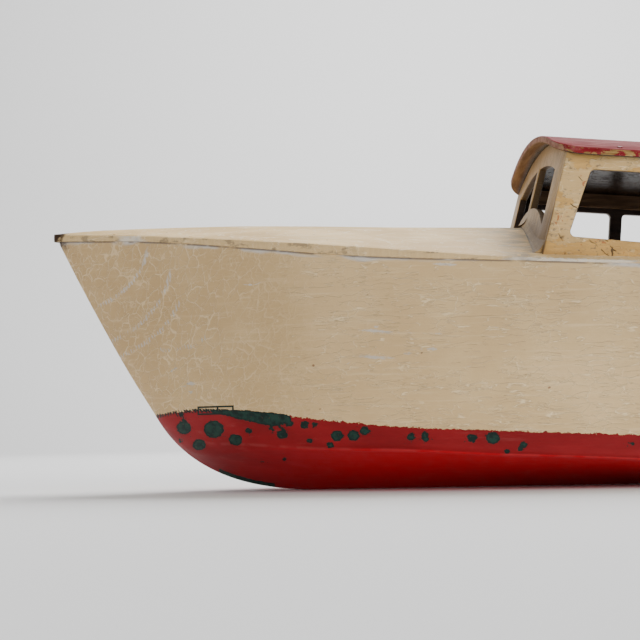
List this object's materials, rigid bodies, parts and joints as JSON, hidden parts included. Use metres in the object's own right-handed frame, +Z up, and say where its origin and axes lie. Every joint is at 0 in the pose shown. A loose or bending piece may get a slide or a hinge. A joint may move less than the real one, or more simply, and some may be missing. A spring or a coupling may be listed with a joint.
{
  "type": "toy boat",
  "caption": "Wooden toy cabin cruiser with a ridged foredeck, open-windowed cabin under an arched roof, cockpit, propeller and tiller-steered rudder.",
  "frame": {"origin": "centre of the boat's length and beam, at the level of the flat of the bottom", "axes": "bow towards -X, stern towards +X, port side towards -Y, +Z up"},
  "size_m": [0.6, 0.1508, 0.1648],
  "materials": {
    "hull_paint": "old crackled cream paint over wood, red below the waterline",
    "bottom_paint": "worn red paint over wood",
    "deck_paint": "old cream paint over wood",
    "cabin_paint": "chipped cream paint over wood",
    "roof_paint": "faded red paint over wood, edges worn bare",
    "inner_wood": "bare, darkened wood",
    "coaming_wood": "worn cream paint over wood",
    "pin_steel": "dull steel pins",
    "motor_steel": "plated steel",
    "shaft_steel": "bright steel",
    "brass": "tarnished brass",
    "tin": "tinned steel",
    "cell_wrap": "plain dark sleeve",
    "switch_block": "dark moulded block"
  },
  "bodies": {
    "boat": {"hull_body": "hull_paint", "transom": "hull_paint", "skeg": "bottom_paint", "deck": "deck_paint", "aft_deck": "deck_paint", "beam_fore": "inner_wood", "beam_cabin": "inner_wood", "beam_aft": "inner_wood", "deck_pins": "pin_steel", "cabin_front": "cabin_paint", "cabin_side_port": "cabin_paint", "cabin_side_starboard": "cabin_paint", "cabin_back": "cabin_paint", "cabin_cove": "cabin_paint", "roof_strip_port": "inner_wood", "roof_strip_starboard": "inner_wood", "cabin_roof": "roof_paint", "roof_pins": "pin_steel", "cabin_floor": "inner_wood", "bearer_fore": "inner_wood", "bearer_mid": "inner_wood", "bearer_aft": "inner_wood", "cockpit_floor": "inner_wood", "coaming_port": "coaming_wood", "coaming_starboard": "coaming_wood", "coaming_aft": "coaming_wood", "hatch_ledge_port": "inner_wood", "hatch_ledge_starboard": "inner_wood", "seat_board": "inner_wood", "seat_front": "inner_wood", "motor_bed": "inner_wood", "motor_case": "motor_steel", "motor_strap": "brass", "stern_tube": "brass", "rudder_tube": "brass", "cell_port": "cell_wrap", "cell_starboard": "cell_wrap", "cell_clip_port": "tin", "cell_clip_starboard": "tin", "switch_base": "switch_block"},
    "drive": {"propeller": "brass", "propeller_nut": "brass", "propeller_shaft": "shaft_steel", "coupling": "brass", "motor_shaft": "shaft_steel"},
    "rudder": {"rudder_stock": "brass", "rudder_blade": "brass", "tiller": "brass"},
    "hatch": {"floor_hatch": "inner_wood", "hatch_knob": "brass"},
    "switch": {"switch_lever": "shaft_steel"}
  },
  "joints": [
    {"name": "propeller_spin", "type": "hinge", "parent": "boat", "child": "drive", "pos_m": [0.256, 0, 0.0134], "axis": [0.9903, 0, -0.1392], "continuous": true},
    {"name": "rudder_turn", "type": "hinge", "parent": "boat", "child": "rudder", "pos_m": [0.279, 0, 0.02], "axis": [0, 0, 1], "range_deg": [-35, 35]},
    {"name": "hatch_lift", "type": "slide", "parent": "boat", "child": "hatch", "axis": [0, 0, 1], "range_m": [0, 0.06]},
    {"name": "switch_throw", "type": "hinge", "parent": "boat", "child": "switch", "pos_m": [0.0801, -0.038, 0.08362], "axis": [0, 1, 0], "range_deg": [0, 56]}
  ]
}
